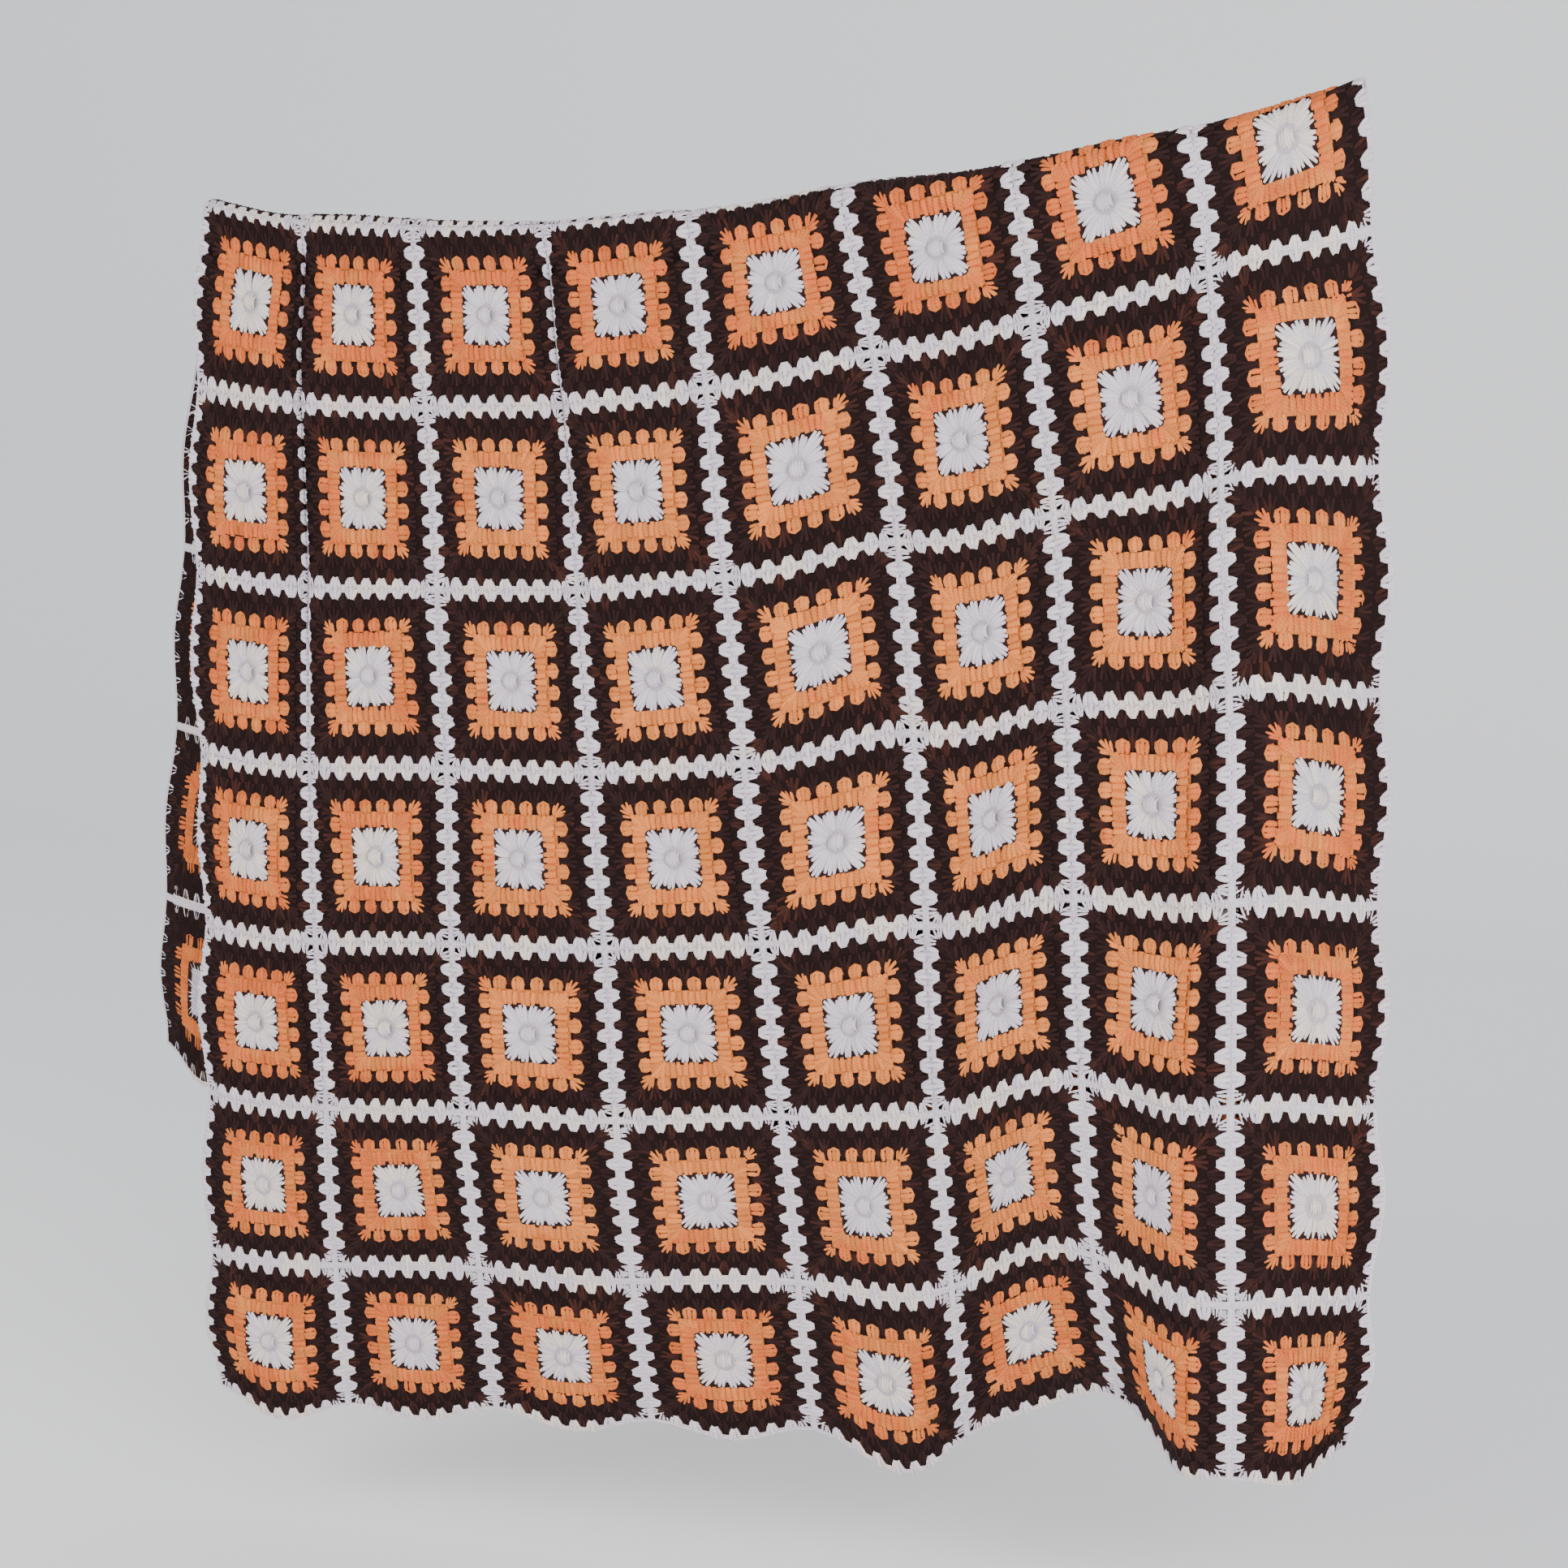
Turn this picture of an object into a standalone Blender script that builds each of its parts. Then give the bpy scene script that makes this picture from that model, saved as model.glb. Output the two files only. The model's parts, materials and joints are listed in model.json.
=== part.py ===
"""Granny square blanket, hung double over a line.

The blanket is 8 squares wide and 12 long. It is crocheted square by square and joined into one cloth, so it is
one solid: a thin sheet that runs up the front flap, round the fold and down the rear flap. The small gaps round
each point where four squares meet are cut through.

Units are metres, +Z is up. The origin is on the crest of the fold, halfway along it. The front flap faces -Y.
"""

import math

import bmesh
import bpy
import numpy as np

# ---------------------------------------------------------------- the flat blanket
SQUARE = 0.175          # one granny square, seam to seam
ACROSS = 8              # squares across
ALONG = 12              # squares from the front hem to the rear hem
FRONT_ROWS = 7          # rows of squares on the front flap
THICKNESS = 0.004       # two yarns deep
CORNER_CELL = 0.09      # side of the mesh cell in each corner of a square, in squares
GAP = 0.0068            # side of the open gap in that cell

# ---------------------------------------------------------------- how it hangs
TILT = math.radians(3.0)      # the rows run askew over the line
FOLD_SHIFT = 0.006            # at mid width the fold lies this far beyond the seam of row 7
FOLD_CURVE = -0.028           # and at both sides this much less
BEND = 0.020                  # radius of the fold
LINE_RISE = 0.033             # the right end of the line is this much above its middle
LINE_SAG = 0.061              # and both ends are this much above it
LINE_SKEW = 0.008             # the lowest place lies left of the middle
DRIFT = 0.245                 # the front flap swings to the right as it goes down
DRIFT_EASE = -0.170           # but less and less
STRETCH = 0.135               # the rows under the fold are pulled long by the weight
STRETCH_EASE = -0.195         # and those at the hem are not
GATHER = 0.25                 # the left columns are drawn together under the fold
GATHER_REACH = 2.5            # over this many columns
DRAWN = 0.25                  # the right edge is drawn together as well
DRAWN_LOW = 0.18              # and more so at the hem
DRAWN_REACH = 0.5             # over this share of the last column
SETTLE = 0.12                 # the folds grow in over this share of the drop, because the line is straight
LONGEST = 1.1                 # the curves of the folds end at this share of the drop
LEAST_CHORD = 0.22            # the steepest cloth still shows this share of its width
REAR_FOLLOWS = 0.85           # share of each fold that the rear flap takes up
REAR_STAND = 0.050            # how much further the rear flap stands back at its hem
REAR_STAND_BY = 0.7           # it stands back in full from this share of the drop
REAR_STRETCH = 0.060          # the rear flap is pulled a little longer
SIDE_SCALLOP = 0.08           # the side edges bow out between the seams, in squares
HEM_SCALLOP = 0.12            # the two hems bow out more
SCALLOP_LEVEL = 0.4           # share of that bow that is drawn in at the seams
CORNER_PULL = 0.055           # the four corners of the blanket are drawn in, in squares
PULL_REACH = 0.40             # over this distance, in squares

# Each fold of the front flap. "at" and "spread" are in squares from the left edge. "upper", "lower" and "hem" say
# how far it stands back (+) or forward (-) at a third, two thirds and the whole of the drop. "lift" says how much
# it raises the rows at half the drop and at the hem.
FOLDS = (
    # at,  spread, upper,  lower,  hem,    lift_mid, lift_hem
    (0.35, 1.40,  -0.070, -0.085, -0.080, -0.010,   -0.025),
    (2.45, 1.80,  -0.050, -0.085, -0.040,  0.030,    0.040),
    (4.25, 0.90,  -0.030, -0.015,  0.035,  0.020,    0.020),
    (5.0,  0.45,   0.005, -0.020,  0.025,  0.025,   -0.025),
    (6.05, 0.70,  -0.040, -0.080,  0.015,  0.045,    0.080),
    (6.9,  0.45,   0.040,  0.025,  0.040, -0.010,    0.020),
    (7.1,  0.60,  -0.100, -0.150, -0.110,  0.025,   -0.015),
    (8.25, 0.65,   0.025, -0.065, -0.120, -0.045,    0.005),
)
FOLD_AT, FOLD_SPREAD, UPPER, LOWER, HEM, LIFT_MID, LIFT_HEM = np.array(FOLDS).T

# ---------------------------------------------------------------- mesh lines, in squares
CELL_LINES = (0.0, CORNER_CELL, 0.5, 1.0 - CORNER_CELL)
NARROW_FOLD_LINES = (6.30, 6.70, 7.30)
ROW_LINES = (0.0, CORNER_CELL, 1.0 - CORNER_CELL)
FOLD_LINES = (6.50, 6.62, 6.74, 6.84, 7.17, 7.27)
STEPS = 33              # steps in the sum that turns cloth width into chord width

YARN_COLOUR = (0.60, 0.55, 0.52, 1.0)


def smooth_step(value):
    """0 below 0, 1 above 1, and smooth between."""
    value = np.clip(value, 0.0, 1.0)
    return value * value * (3.0 - 2.0 * value)


def weights(share, levels):
    """Polynomial weights of the levels at a share of the drop. Every curve is 0 at the fold itself."""
    nodes = (0.0,) + levels
    columns = []
    for i, level in enumerate(levels, start=1):
        weight = np.ones_like(share)
        for j, node in enumerate(nodes):
            if j != i:
                weight = weight * (share - node) / (level - node)
        columns.append(weight)
    return columns


def bow_edges(across, along):
    """Bows the free edges out between the seams, and draws in the four corners."""
    bow_along = np.sin(math.pi * along) ** 2 - SCALLOP_LEVEL
    bow_across = np.sin(math.pi * across) ** 2 - SCALLOP_LEVEL
    left = np.clip(1.0 - across, 0.0, 1.0) ** 2
    right = np.clip(across - (ACROSS - 1), 0.0, 1.0) ** 2
    front = np.clip(1.0 - along, 0.0, 1.0) ** 2
    rear = np.clip(along - (ALONG - 1), 0.0, 1.0) ** 2
    new_across = across + SIDE_SCALLOP * bow_along * (right - left)
    new_along = along + HEM_SCALLOP * bow_across * (rear - front)
    for corner_across, inward_across in ((0, 1), (ACROSS, -1)):
        for corner_along, inward_along in ((0, 1), (ALONG, -1)):
            distance = np.hypot(across - corner_across, along - corner_along)
            pull = CORNER_PULL * np.exp(-((distance / PULL_REACH) ** 2))
            new_across = new_across + inward_across * pull
            new_along = new_along + inward_along * pull
    return new_across, new_along


def hang(across, along):
    """Turns places on the flat blanket, in squares, into points in space."""
    across, along = bow_edges(across, along)
    sideways = (across - ACROSS / 2) * SQUARE
    upright = (FRONT_ROWS - along) * SQUARE
    beside = sideways * math.cos(TILT) + upright * math.sin(TILT)
    below = upright * math.cos(TILT) - sideways * math.sin(TILT)
    below = below + FOLD_SHIFT + FOLD_CURVE * (across / (ACROSS / 2) - 1.0) ** 2
    flap = FRONT_ROWS * SQUARE
    share = np.clip(np.abs(below) / flap, 0.0, LONGEST)
    is_rear = below < 0.0
    follows = smooth_step(share / SETTLE) * np.where(is_rear, REAR_FOLLOWS, 1.0)

    upper, lower, hem = weights(share, (1 / 3, 2 / 3, 1.0))
    depth = follows[:, None] * (upper[:, None] * UPPER + lower[:, None] * LOWER + hem[:, None] * HEM)
    middle, whole = weights(share, (0.5, 1.0))
    lift = follows[:, None] * (middle[:, None] * LIFT_MID + whole[:, None] * LIFT_HEM)

    # The cloth keeps its width, so a stretch that runs back or forward is narrower as seen from the front.
    column = beside / SQUARE + ACROSS / 2
    steps = np.linspace(0.0, 1.0, STEPS)
    places = ACROSS / 2 + (column[:, None] - ACROSS / 2) * steps
    offset = (places[..., None] - FOLD_AT) / FOLD_SPREAD
    swell = np.exp(-offset * offset)
    slope = (-2.0 * offset / FOLD_SPREAD * swell / SQUARE * depth[:, None, :]).sum(-1)
    chord = np.sqrt(np.maximum(1.0 - slope * slope, LEAST_CHORD**2))
    gathered = GATHER * (1.0 - share[:, None]) * np.exp(-((places / GATHER_REACH) ** 2))
    drawn = (DRAWN + DRAWN_LOW * share[:, None]) * np.exp(-(((ACROSS - places) / DRAWN_REACH) ** 2))
    chord = chord * (1.0 - gathered) * (1.0 - drawn)
    mean_chord = (chord[:, 1:] + chord[:, :-1]).mean(1) / 2
    x = beside * mean_chord
    x = x + np.where(is_rear, 0.0, DRIFT * share + DRIFT_EASE * share**2)

    turn = np.clip(below / BEND, -math.pi / 2, math.pi / 2)
    run = np.maximum(np.abs(below) - BEND * math.pi / 2, 0.0)
    y = (swell[:, -1] * depth).sum(-1) - BEND * np.sin(turn)
    y = y + np.where(is_rear, REAR_STAND * smooth_step(share / REAR_STAND_BY), 0.0)

    along_line = column / (ACROSS / 2) - 1.0
    line = LINE_RISE * along_line + LINE_SAG * along_line**2 - LINE_SKEW * (along_line**3 - along_line)
    stretch = STRETCH + np.where(is_rear, REAR_STRETCH, 0.0) + 0.5 * STRETCH_EASE * run / flap
    z = line - BEND * (1.0 - np.cos(turn)) - run * (1.0 + stretch) + (swell[:, -1] * lift).sum(-1)
    return np.stack((x, y, z), axis=1)


def flat_grid():
    """A flat grid whose lines follow the squares, with a finer band where the cloth turns over the line."""
    columns = [square + line for square in range(ACROSS) for line in CELL_LINES] + [ACROSS]
    columns = sorted(columns + list(NARROW_FOLD_LINES))
    rows = [square + line for square in range(ALONG) for line in ROW_LINES] + [ALONG]
    rows = sorted(rows + list(FOLD_LINES))
    mesh = bmesh.new()
    bmesh.ops.create_grid(mesh, x_segments=len(columns) - 1, y_segments=len(rows) - 1, size=0.5)
    for vertex in mesh.verts:
        column = round((vertex.co.x + 0.5) * (len(columns) - 1))
        row = round((vertex.co.y + 0.5) * (len(rows) - 1))
        vertex.co = (columns[column] * SQUARE, rows[row] * SQUARE, 0.0)
    return mesh


def is_gap_cell(face):
    """True for the corner cells of the squares, apart from those on the free edges and on the fold."""
    centre = face.calc_center_median() / SQUARE
    seam_across = round(centre.x)
    seam_along = round(centre.y)
    near = abs(centre.x - seam_across) < CORNER_CELL and abs(centre.y - seam_along) < CORNER_CELL
    inside = 0 < seam_across < ACROSS and 0 < seam_along < ALONG
    return near and inside and seam_along != FRONT_ROWS


def cut_gaps(mesh):
    """Opens one small gap in each corner cell."""
    cells = [face for face in mesh.faces if is_gap_cell(face)]
    margin = (CORNER_CELL * SQUARE - GAP) / 2
    bmesh.ops.inset_individual(mesh, faces=cells, thickness=margin, use_even_offset=True)
    bmesh.ops.delete(mesh, geom=cells, context="FACES")


def make_material():
    material = bpy.data.materials.new("crochet yarn")
    material.use_nodes = True
    shader = material.node_tree.nodes["Principled BSDF"]
    shader.inputs["Base Color"].default_value = YARN_COLOUR
    shader.inputs["Roughness"].default_value = 0.9
    shader.inputs["Metallic"].default_value = 0.0
    material.diffuse_color = YARN_COLOUR
    return material


def make_blanket(collection):
    grid = flat_grid()
    cut_gaps(grid)
    flat = np.array([vertex.co[:] for vertex in grid.verts]) / SQUARE
    for vertex, point in zip(grid.verts, hang(flat[:, 0], flat[:, 1])):
        vertex.co = point
    bmesh.ops.recalc_face_normals(grid, faces=grid.faces)
    data = bpy.data.meshes.new("blanket")
    grid.to_mesh(data)
    grid.free()
    data.materials.append(make_material())
    blanket = bpy.data.objects.new("blanket", data)
    collection.objects.link(blanket)
    body = blanket.modifiers.new("yarn thickness", "SOLIDIFY")
    body.thickness = THICKNESS
    body.offset = 0.0
    body.use_even_offset = True
    return blanket


def main():
    for old in list(bpy.data.objects):
        bpy.data.objects.remove(old, do_unlink=True)
    collection = bpy.data.collections.new("granny square blanket")
    bpy.context.scene.collection.children.link(collection)
    make_blanket(collection)


main()
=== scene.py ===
"""The looks of a granny square blanket that hangs double over a line.

The crocheted squares are worked here stitch by stitch: each round of a square is a row of clusters, each
cluster is three posts of yarn, and every post is a strand laid on the folds of the hanging cloth. One square
is worked flat, then repeated over the blanket with small differences, as squares made by hand have.

Flat places are given as "across" (squares from the left edge), "along" (squares from the front hem, up the
front, over the line and down the rear) and "height" (metres out of the cloth, towards its outer face).
"""

import json
import math

import bmesh
import bpy
import numpy as np
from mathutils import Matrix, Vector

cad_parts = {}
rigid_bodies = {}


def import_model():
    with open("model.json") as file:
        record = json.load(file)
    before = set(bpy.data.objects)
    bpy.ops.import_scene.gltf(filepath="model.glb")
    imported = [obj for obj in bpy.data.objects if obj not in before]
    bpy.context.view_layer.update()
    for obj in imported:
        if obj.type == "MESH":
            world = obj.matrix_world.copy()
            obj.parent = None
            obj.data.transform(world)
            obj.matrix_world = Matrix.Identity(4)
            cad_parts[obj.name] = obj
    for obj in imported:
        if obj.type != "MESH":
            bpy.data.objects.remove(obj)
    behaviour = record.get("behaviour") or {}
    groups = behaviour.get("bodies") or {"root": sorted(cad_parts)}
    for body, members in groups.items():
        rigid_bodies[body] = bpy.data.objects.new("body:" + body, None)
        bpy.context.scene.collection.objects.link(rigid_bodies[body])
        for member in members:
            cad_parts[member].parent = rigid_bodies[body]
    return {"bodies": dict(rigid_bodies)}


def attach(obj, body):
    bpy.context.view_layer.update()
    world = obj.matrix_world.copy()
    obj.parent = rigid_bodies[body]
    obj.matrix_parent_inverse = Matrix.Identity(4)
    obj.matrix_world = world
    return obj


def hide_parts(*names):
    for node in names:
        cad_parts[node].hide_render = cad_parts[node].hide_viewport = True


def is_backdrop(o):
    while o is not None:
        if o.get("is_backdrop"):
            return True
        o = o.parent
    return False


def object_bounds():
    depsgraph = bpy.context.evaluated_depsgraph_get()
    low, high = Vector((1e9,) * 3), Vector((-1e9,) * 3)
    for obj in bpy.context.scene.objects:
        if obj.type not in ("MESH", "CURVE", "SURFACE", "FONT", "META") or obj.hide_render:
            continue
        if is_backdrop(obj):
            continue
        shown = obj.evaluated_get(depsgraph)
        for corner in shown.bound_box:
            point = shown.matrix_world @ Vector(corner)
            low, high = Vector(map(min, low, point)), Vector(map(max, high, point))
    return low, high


bl_info = {
    "name": "Granny square blanket",
    "version": (1, 0, 0),
    "blender": (4, 5, 0),
    "location": "3D View > Sidebar > Blanket",
    "description": "Works a hanging granny square blanket stitch by stitch, on a plain stage",
    "category": "Object",
}

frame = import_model()
CAD_LOW, CAD_HIGH = (list(corner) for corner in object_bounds())
BODY = next(iter(frame["bodies"]))
CLOTH_NODE = "blanket"
MM = 0.001

# -------- the flat blanket, as in the solid
ACROSS = 8              # squares across
ALONG = 12              # squares from the front hem to the rear hem
FRONT_ROWS = 7          # rows of squares on the front flap
SQUARE = 0.175          # one granny square, seam to seam
GAP_AT = 0.045          # middle of the open gap in each corner of a square, in squares from both seams
GAP_SIZE = 0.039        # side of that gap, in squares
GRID_LINES = (0.17, 0.28, 0.39)     # lines of the ground's grid between that gap and the middle of a square
FOLD_LINES = (6.54, 6.63, 6.72, 6.80, 6.88, 7.11, 7.19, 7.28)     # and its extra lines round the fold
RIM = 0.012             # the ground ends this far inside the free edges, under their stitches

# -------- how it hangs, as in the solid
TILT = math.radians(3.0)  # the rows run askew over the line
FOLD_SHIFT = 0.006        # at mid width the fold lies this far beyond the seam of row 7
FOLD_CURVE = -0.028       # and at both sides this much less
BEND = 0.020              # radius of the fold
LINE_RISE = 0.033         # the line rises this much from its middle to the right, and falls to the left
LINE_SAG = 0.061          # it sags as well, so that both ends lie this much higher
LINE_SKEW = 0.008         # the lowest place lies left of the middle
DRIFT = 0.245             # the front flap swings to the right as it goes down
DRIFT_EASE = -0.170       # but less and less
STRETCH = 0.135           # the rows under the fold are pulled long by the weight
STRETCH_EASE = -0.195     # and those at the hem are not
GATHER = 0.25             # the left columns are drawn together under the fold
GATHER_REACH = 2.5        # over this many columns
DRAWN = 0.25              # the right edge is drawn together as well
DRAWN_LOW = 0.18          # and more so at the hem
DRAWN_REACH = 0.5         # over this share of the last column
SETTLE = 0.12             # the folds grow in over this share of the drop, because the line is straight
LONGEST = 1.1             # the curves of the folds end at this share of the drop
LEAST_CHORD = 0.22        # the steepest cloth still shows this share of its width
REAR_FOLLOWS = 0.85       # share of each fold that the rear flap takes up
REAR_STAND = 0.050        # how much further the rear flap stands back at its hem
REAR_STAND_BY = 0.7       # it stands back in full from this share of the drop
REAR_STRETCH = 0.060      # the rear flap is pulled a little longer
SIDE_SCALLOP = 0.08       # the side edges bow out between the seams, in squares
HEM_SCALLOP = 0.12        # the two hems bow out more
SCALLOP_LEVEL = 0.4       # share of that bow that is drawn in at the seams
CORNER_PULL = 0.055       # the four corners of the blanket are drawn in, in squares
PULL_REACH = 0.40         # over this distance, in squares
STEPS = 33                # steps in the sum that turns cloth width into chord width

# Each fold of the front flap. "at" and "spread" are in squares from the left edge. "upper", "lower" and "hem"
# say how far it stands back (+) or forward (-) at a third, two thirds and the whole of the drop. "lift" says
# how much it raises the rows at half the drop and at the hem.
FOLDS = (
    # at,  spread, upper,  lower,  hem,    lift_mid, lift_hem
    (0.35, 1.40,  -0.070, -0.085, -0.080, -0.010,   -0.025),
    (2.45, 1.80,  -0.050, -0.085, -0.040,  0.030,    0.040),
    (4.25, 0.90,  -0.030, -0.015,  0.035,  0.020,    0.020),
    (5.0,  0.45,   0.005, -0.020,  0.025,  0.025,   -0.025),
    (6.05, 0.70,  -0.040, -0.080,  0.015,  0.045,    0.080),
    (6.9,  0.45,   0.040,  0.025,  0.040, -0.010,    0.020),
    (7.1,  0.60,  -0.100, -0.150, -0.110,  0.025,   -0.015),
    (8.25, 0.65,   0.025, -0.065, -0.120, -0.045,    0.005),
)
FOLD_AT, FOLD_SPREAD, UPPER, LOWER, HEM, LIFT_MID, LIFT_HEM = np.array(FOLDS).T

# Seams where the cloth closes up like a pleat. "pull" is how far the squares beside the seam are drawn over
# it, in squares, and "sink" how far the seam stands back. Both grow from "first" to "full".
CREASES = (
    # seam, first, full, pull,  sink
    (1.0,   2.6,   6.4,  0.062, 0.010),
    (3.0,   4.6,   6.3,  0.050, 0.007),
)
CREASE_REACH = 0.075      # half the width of the strip that closes up, in squares
CREASE_FADES = 6.7        # where a crease begins to open again
CREASE_ENDS = 7.0         # and where it is gone

# Small waves of the cloth between its folds: waves in a square across and along, start and height.
PUCKERS = (
    # across, along, start, size
    (0.31,    0.23,  0.4,   0.0022),
    (-0.57,   0.41,  1.9,   0.0014),
    (0.83,    0.66,  3.1,   0.0009),
)
DOME = 0.0022             # the middle of a square stands this far proud of its seams
DRAPE_CELLS = 24          # cells of the drape's grid along one square

# -------- one square, worked flat
# Sizes here are in millimetres, and places are counted from the middle of the square.
#
# Each round of clusters. "count" clusters stand on a side, "pitch" apart. The three posts of a cluster run
# from "base" to "top" and lie up to "base_half" and "top_half" to either side of its middle. With a "spread"
# above 1 they part late, and below 1 early. "thick" is half the width of a post. "heights" and "widths" go
# along it, the widths as shares of "thick". "corner" lists the posts of half a corner, where they start and
# end, and "corner_thick" is half their width.
CLUSTER_ROUNDS = {
    "orange_inner": dict(
        count=3, pitch=20.0, base=29.2, top=44.2, base_half=5.2, top_half=6.6, spread=1.0, thick=3.6,
        heights=(0.2, 1.6, 1.0), widths=(0.70, 1.0, 0.85), corner_thick=3.1,
        corner=((27.6, 29.0, 33.2, 44.0), (28.4, 28.4, 38.8, 44.2), (29.0, 27.6, 43.6, 43.8))),
    "orange_outer": dict(
        count=4, pitch=21.0, base=43.5, top=56.6, base_half=3.9, top_half=5.0, spread=1.0, thick=3.0,
        heights=(0.3, 1.8, 1.9, 0.6), widths=(0.70, 0.95, 1.0, 0.60), corner_thick=1.6,
        corner=((42.4, 44.2, 44.6, 55.6), (43.6, 43.8, 49.0, 56.8), (44.6, 43.4, 54.0, 55.4))),
    "dark_inner": dict(
        count=5, pitch=21.0, base=46.5, top=67.5, base_half=0.9, top_half=6.0, spread=1.8, thick=2.3,
        heights=(-0.4, 0.9, 1.1), widths=(0.62, 1.0, 0.80), corner_thick=2.3,
        corner=((53.4, 54.5, 55.5, 67.5), (54.0, 54.0, 61.0, 67.5), (54.6, 53.5, 66.5, 67.5))),
    "dark_outer": dict(
        count=6, pitch=20.8, base=66.0, top=82.2, base_half=1.8, top_half=5.0, spread=1.0, thick=2.3,
        heights=(-0.2, 1.1, 0.6), widths=(0.62, 1.0, 0.90), corner_thick=2.3,
        corner=((63.9, 65.0, 65.5, 81.0), (64.5, 64.5, 71.0, 81.0), (65.1, 64.0, 75.4, 80.4))),
    "edging": dict(
        count=7, pitch=20.4, base=74.4, top=88.0, base_half=1.7, top_half=5.7, spread=0.75, thick=2.55,
        heights=(1.0, 2.5, 2.7, 1.8), widths=(0.70, 1.0, 1.05, 0.75), corner_thick=1.2,
        corner=((71.6, 74.4, 70.6, 86.4), (72.8, 73.6, 74.0, 86.4), (74.4, 74.0, 79.6, 86.2))),
}
ROUND_LAG = 1.4           # the side posts of a cluster end this much short of its middle post
MIDDLE_LIFT = 0.3         # the middle post of a cluster lies this much above its neighbours

# The chain over a cluster of the outer orange round: places along it, with their heights.
LOBE_ARC = ((-7.0, 49.0, 0.4), (-5.9, 54.2, 0.9), (0.0, 56.6, 1.2), (5.9, 54.2, 0.9), (7.0, 49.0, 0.4))
LOBE_THICK = 1.6
LOBE_WIDTHS = (0.7, 1.0, 1.0, 1.0, 0.7)

# The petals of the centre, those of one side and one corner: where the middle strand of each ends.
PETAL_ENDS = ((-9.2, 29.2), (9.2, 29.2), (27.0, 27.0))
PETAL_START = 11.2        # they start this far from the middle
PETAL_HALF = (1.8, 4.6)   # a petal's side strands lie this far from its middle strand, at both its ends
PETAL_LAG = 1.6           # and end this much short of it
PETAL_THICK = 2.6
PETAL_HEIGHTS = (0.3, 2.7, 2.4, 0.9)
PETAL_WIDTHS = (0.50, 0.90, 1.0, 0.60)
BETWEEN_ENDS = ((0.0, 24.6), (-17.4, 24.0), (17.4, 24.0))   # where the strands between the petals end
BETWEEN_START = 12.0
BETWEEN_THICK = 2.4
BETWEEN_HEIGHTS = (0.9, 1.3, 0.3)
BETWEEN_WIDTHS = (0.55, 0.90, 0.45)
KNOB_RADIUS = 8.2
KNOB_FOOT = 0.9           # the knob's rim lies this high
KNOB_HEIGHT = 5.4         # and its middle this much higher
KNOB_STRANDS = (-5.6, -2.8, 0.0, 2.8, 5.6)
KNOB_THICK = 2.0
KNOB_WIDTHS = (0.6, 1.0, 1.0, 1.0, 0.6)

# The chains along a side of the edging, and the loop round the gap in a corner.
SIDE_CHAINS = (
    # half length, place, height
    (68.0,         83.7,  0.3),
    (86.0,         86.4,  0.6),
)
CHAIN_POINTS = 9
CHAIN_THICK = 1.7
GAP_LOOP = ((75.2, 85.0, 1.0), (74.9, 79.0, 1.6), (76.4, 76.4, 1.8), (79.0, 74.9, 1.6), (85.0, 75.2, 1.0))
LOOP_THICK = 1.0

# -------- strands, and how squares differ
HALF_ANGLES = (-22.0, 47.0, 133.0, 202.0)           # corners of a strand that lies on the cloth, in degrees
FULL_ANGLES = HALF_ANGLES + (270.0,)                # and of one that shows on both faces
POST_RISE = 0.72          # a strand's height, as a share of its width
BOTH_FACES_ROWS = 2       # front rows from the hem that are seen from inside as well
LEVEL = 0.28              # a strand that shows on both faces lies at this share of its height
LEVEL_TO = 2.8 * MM       # but what is higher than this stands proud in full
SEED = 7
WOBBLE = 0.35 * MM        # how far a stitch lies off its place
STEADY = 0.15 * MM        # the same for a chain and for the knob
SLACK = 0.07              # how much the thickness of stitches differs
LEAN = math.radians(2.0)  # how far a square's middle is turned
SHIFT = 1.3 * MM          # and how far it lies off
SEAM_PULL = 2.4 * MM      # the weight draws stitches this much nearer to the seams between rows
PULLED_AT = 0.86          # at this share of the way from the middle of a square to its seam
PULLED_REACH = 0.09       # over this share of it
PULLED_FROM = 1.0         # rows up to this one from a hem, counted from 0, aren't drawn
PULLED_OVER = 3.0         # and over this many more rows it grows to the full

# -------- yarn
# Unevenness of the finishes: how fine it is, its detail and its roughness.
FUZZ = (900.0, 3.0, 0.65)
LUMPS = (240.0, 2.0, 0.5)
PATCHES = (26.0, 2.0, 0.6)
STREAKS = (110.0, 2.0, 0.6)
BACK_FUZZ = (700.0, 3.0, 0.6)
MOTTLE = (3.0, 2.0, 0.5)
DYE_AND_LIGHT = (0.62, 0.80)            # unevenness at which a yarn begins to turn to its other colour, and has turned
# Warm places: the orange there is redder yarn, and the pale centres there take painted warm light as cream.
WARM_MIDDLE = 4.4             # column round which the yarns are coolest, in squares
WARM_SIDES = (1.4, 3.2)       # they grow warmer from this far beside it to this far
WARM_HEM = (0.5, 1.7)         # and at the front hem, from the upper of these rows down to the lower
FOLD_SHADE_ROWS = (5.2, 6.6)        # painted shade: the orange turns darker and redder from this row to this one, towards the fold
FOLD_SHADE_PUSH = 1.2               # and there the painted shade is pushed more than the redder yarn at the sides
# Painted warm light, as cream on the pale yarn: along the seams between rows, and on the centres in warm
# places.
CREAM_SEAM = (0.38, 0.42)     # the edging begins this far above or below the middle of a square
CREAM_SIDE = 0.25             # and is cream in full where it is this much further that way than to the side
CREAM_CENTRE = (0.19, 0.22)   # the pale centre ends this far from the middle

# Painted shade on the ground of one square, where it shows deep between the stitches: from how far out, which
# yarn, and how light its painted shade is.
CENTRE_SHADE = ("pale", 0.6)
ROUND_SHADES = (
    # from, yarn,     share
    (23.2,  "dark",   0.8),
    (31.2,  "orange", 0.7),
    (44.5,  "dark",   0.4),
    (83.8,  "pale",   0.8),
)
SHADE_BLUR = 0.5               # half the width over which one colour turns into the next, in millimetres

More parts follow.
